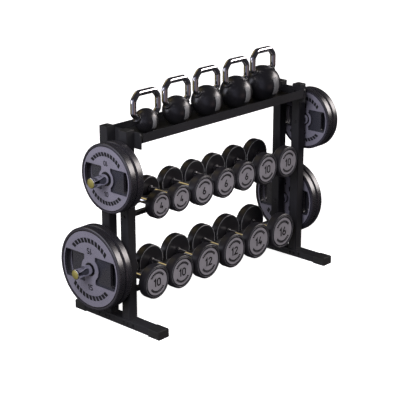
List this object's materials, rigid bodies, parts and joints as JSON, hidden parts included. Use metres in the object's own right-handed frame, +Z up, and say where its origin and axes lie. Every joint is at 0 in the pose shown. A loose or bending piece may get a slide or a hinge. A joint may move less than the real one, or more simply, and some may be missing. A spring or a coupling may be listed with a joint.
{
  "type": "dumbbell rack",
  "caption": "Free-standing steel rack holding dumbbells on two pairs of rails, kettlebells on a top tray and grip plates on side horns.",
  "frame": {"origin": "on the floor, at the centre of the two foot beams", "axes": "+X along the rack to its right end, +Y from the front to the back, +Z up"},
  "size_m": [1.702, 0.57, 1.177],
  "materials": {
    "frame_paint": "satin",
    "rail_paint": "satin",
    "black_plastic": "satin",
    "mat_rubber": "matte",
    "bolt_steel": "satin",
    "chrome": "polished",
    "head_rubber": "satin",
    "ball_rubber": "satin",
    "plate_rubber": "satin"
  },
  "bodies": {
    "rack": {"foot_beam_left": "frame_paint", "foot_beam_right": "frame_paint", "foot_end_caps": "black_plastic", "upright_front_left": "frame_paint", "upright_rear_left": "frame_paint", "upright_front_right": "frame_paint", "upright_rear_right": "frame_paint", "upright_top_caps": "black_plastic", "kettlebell_tray": "frame_paint", "tray_mat": "mat_rubber", "tray_end_plate_left": "frame_paint", "tray_end_plate_right": "frame_paint", "upper_rails": "rail_paint", "lower_rails": "rail_paint", "weight_horns": "chrome", "frame_bolts": "bolt_steel"},
    "upper_dumbbell_1": {"upper_dumbbell_1_handle": "chrome", "upper_dumbbell_1_heads": "head_rubber"},
    "upper_dumbbell_2": {"upper_dumbbell_2_handle": "chrome", "upper_dumbbell_2_heads": "head_rubber"},
    "upper_dumbbell_3": {"upper_dumbbell_3_handle": "chrome", "upper_dumbbell_3_heads": "head_rubber"},
    "upper_dumbbell_4": {"upper_dumbbell_4_handle": "chrome", "upper_dumbbell_4_heads": "head_rubber"},
    "upper_dumbbell_5": {"upper_dumbbell_5_handle": "chrome", "upper_dumbbell_5_heads": "head_rubber"},
    "upper_dumbbell_6": {"upper_dumbbell_6_handle": "chrome", "upper_dumbbell_6_heads": "head_rubber"},
    "upper_dumbbell_7": {"upper_dumbbell_7_handle": "chrome", "upper_dumbbell_7_heads": "head_rubber"},
    "lower_dumbbell_1": {"lower_dumbbell_1_handle": "chrome", "lower_dumbbell_1_heads": "head_rubber"},
    "lower_dumbbell_2": {"lower_dumbbell_2_handle": "chrome", "lower_dumbbell_2_heads": "head_rubber"},
    "lower_dumbbell_3": {"lower_dumbbell_3_handle": "chrome", "lower_dumbbell_3_heads": "head_rubber"},
    "lower_dumbbell_4": {"lower_dumbbell_4_handle": "chrome", "lower_dumbbell_4_heads": "head_rubber"},
    "lower_dumbbell_5": {"lower_dumbbell_5_handle": "chrome", "lower_dumbbell_5_heads": "head_rubber"},
    "lower_dumbbell_6": {"lower_dumbbell_6_handle": "chrome", "lower_dumbbell_6_heads": "head_rubber"},
    "kettlebell_1": {"kettlebell_1_handle": "chrome", "kettlebell_1_body": "ball_rubber"},
    "kettlebell_2": {"kettlebell_2_handle": "chrome", "kettlebell_2_body": "ball_rubber"},
    "kettlebell_3": {"kettlebell_3_handle": "chrome", "kettlebell_3_body": "ball_rubber"},
    "kettlebell_4": {"kettlebell_4_handle": "chrome", "kettlebell_4_body": "ball_rubber"},
    "kettlebell_5": {"kettlebell_5_handle": "chrome", "kettlebell_5_body": "ball_rubber"},
    "upper_plate_left_inner": {"upper_plate_left_inner": "plate_rubber"},
    "upper_plate_left_outer": {"upper_plate_left_outer": "plate_rubber"},
    "upper_plate_right_inner": {"upper_plate_right_inner": "plate_rubber"},
    "upper_plate_right_outer": {"upper_plate_right_outer": "plate_rubber"},
    "lower_plate_left_inner": {"lower_plate_left_inner": "plate_rubber"},
    "lower_plate_left_outer": {"lower_plate_left_outer": "plate_rubber"},
    "lower_plate_right_inner": {"lower_plate_right_inner": "plate_rubber"},
    "lower_plate_right_outer": {"lower_plate_right_outer": "plate_rubber"}
  },
  "joints": [
    {"name": "upper_dumbbell_1_lift", "type": "slide", "parent": "rack", "child": "upper_dumbbell_1", "axis": [0, 0, 1], "range_m": [0, 0.15]},
    {"name": "upper_dumbbell_2_lift", "type": "slide", "parent": "rack", "child": "upper_dumbbell_2", "axis": [0, 0, 1], "range_m": [0, 0.15]},
    {"name": "upper_dumbbell_3_lift", "type": "slide", "parent": "rack", "child": "upper_dumbbell_3", "axis": [0, 0, 1], "range_m": [0, 0.15]},
    {"name": "upper_dumbbell_4_lift", "type": "slide", "parent": "rack", "child": "upper_dumbbell_4", "axis": [0, 0, 1], "range_m": [0, 0.15]},
    {"name": "upper_dumbbell_5_lift", "type": "slide", "parent": "rack", "child": "upper_dumbbell_5", "axis": [0, 0, 1], "range_m": [0, 0.15]},
    {"name": "upper_dumbbell_6_lift", "type": "slide", "parent": "rack", "child": "upper_dumbbell_6", "axis": [0, 0, 1], "range_m": [0, 0.15]},
    {"name": "upper_dumbbell_7_lift", "type": "slide", "parent": "rack", "child": "upper_dumbbell_7", "axis": [0, 0, 1], "range_m": [0, 0.15]},
    {"name": "lower_dumbbell_1_lift", "type": "slide", "parent": "rack", "child": "lower_dumbbell_1", "axis": [0, 0, 1], "range_m": [0, 0.15]},
    {"name": "lower_dumbbell_2_lift", "type": "slide", "parent": "rack", "child": "lower_dumbbell_2", "axis": [0, 0, 1], "range_m": [0, 0.15]},
    {"name": "lower_dumbbell_3_lift", "type": "slide", "parent": "rack", "child": "lower_dumbbell_3", "axis": [0, 0, 1], "range_m": [0, 0.15]},
    {"name": "lower_dumbbell_4_lift", "type": "slide", "parent": "rack", "child": "lower_dumbbell_4", "axis": [0, 0, 1], "range_m": [0, 0.15]},
    {"name": "lower_dumbbell_5_lift", "type": "slide", "parent": "rack", "child": "lower_dumbbell_5", "axis": [0, 0, 1], "range_m": [0, 0.15]},
    {"name": "lower_dumbbell_6_lift", "type": "slide", "parent": "rack", "child": "lower_dumbbell_6", "axis": [0, 0, 1], "range_m": [0, 0.15]},
    {"name": "kettlebell_1_lift", "type": "slide", "parent": "rack", "child": "kettlebell_1", "axis": [0, 0, 1], "range_m": [0, 0.25]},
    {"name": "kettlebell_2_lift", "type": "slide", "parent": "rack", "child": "kettlebell_2", "axis": [0, 0, 1], "range_m": [0, 0.25]},
    {"name": "kettlebell_3_lift", "type": "slide", "parent": "rack", "child": "kettlebell_3", "axis": [0, 0, 1], "range_m": [0, 0.25]},
    {"name": "kettlebell_4_lift", "type": "slide", "parent": "rack", "child": "kettlebell_4", "axis": [0, 0, 1], "range_m": [0, 0.25]},
    {"name": "kettlebell_5_lift", "type": "slide", "parent": "rack", "child": "kettlebell_5", "axis": [0, 0, 1], "range_m": [0, 0.25]},
    {"name": "upper_plate_left_inner_slide", "type": "slide", "parent": "rack", "child": "upper_plate_left_inner", "axis": [-1, 0, 0], "range_m": [0, 0.2]},
    {"name": "upper_plate_left_outer_slide", "type": "slide", "parent": "upper_plate_left_inner", "child": "upper_plate_left_outer", "axis": [-1, 0, 0], "range_m": [0, 0.16]},
    {"name": "upper_plate_right_inner_slide", "type": "slide", "parent": "rack", "child": "upper_plate_right_inner", "axis": [1, 0, 0], "range_m": [0, 0.2]},
    {"name": "upper_plate_right_outer_slide", "type": "slide", "parent": "upper_plate_right_inner", "child": "upper_plate_right_outer", "axis": [1, 0, 0], "range_m": [0, 0.16]},
    {"name": "lower_plate_left_inner_slide", "type": "slide", "parent": "rack", "child": "lower_plate_left_inner", "axis": [-1, 0, 0], "range_m": [0, 0.2]},
    {"name": "lower_plate_left_outer_slide", "type": "slide", "parent": "lower_plate_left_inner", "child": "lower_plate_left_outer", "axis": [-1, 0, 0], "range_m": [0, 0.16]},
    {"name": "lower_plate_right_inner_slide", "type": "slide", "parent": "rack", "child": "lower_plate_right_inner", "axis": [1, 0, 0], "range_m": [0, 0.2]},
    {"name": "lower_plate_right_outer_slide", "type": "slide", "parent": "lower_plate_right_inner", "child": "lower_plate_right_outer", "axis": [1, 0, 0], "range_m": [0, 0.16]}
  ]
}
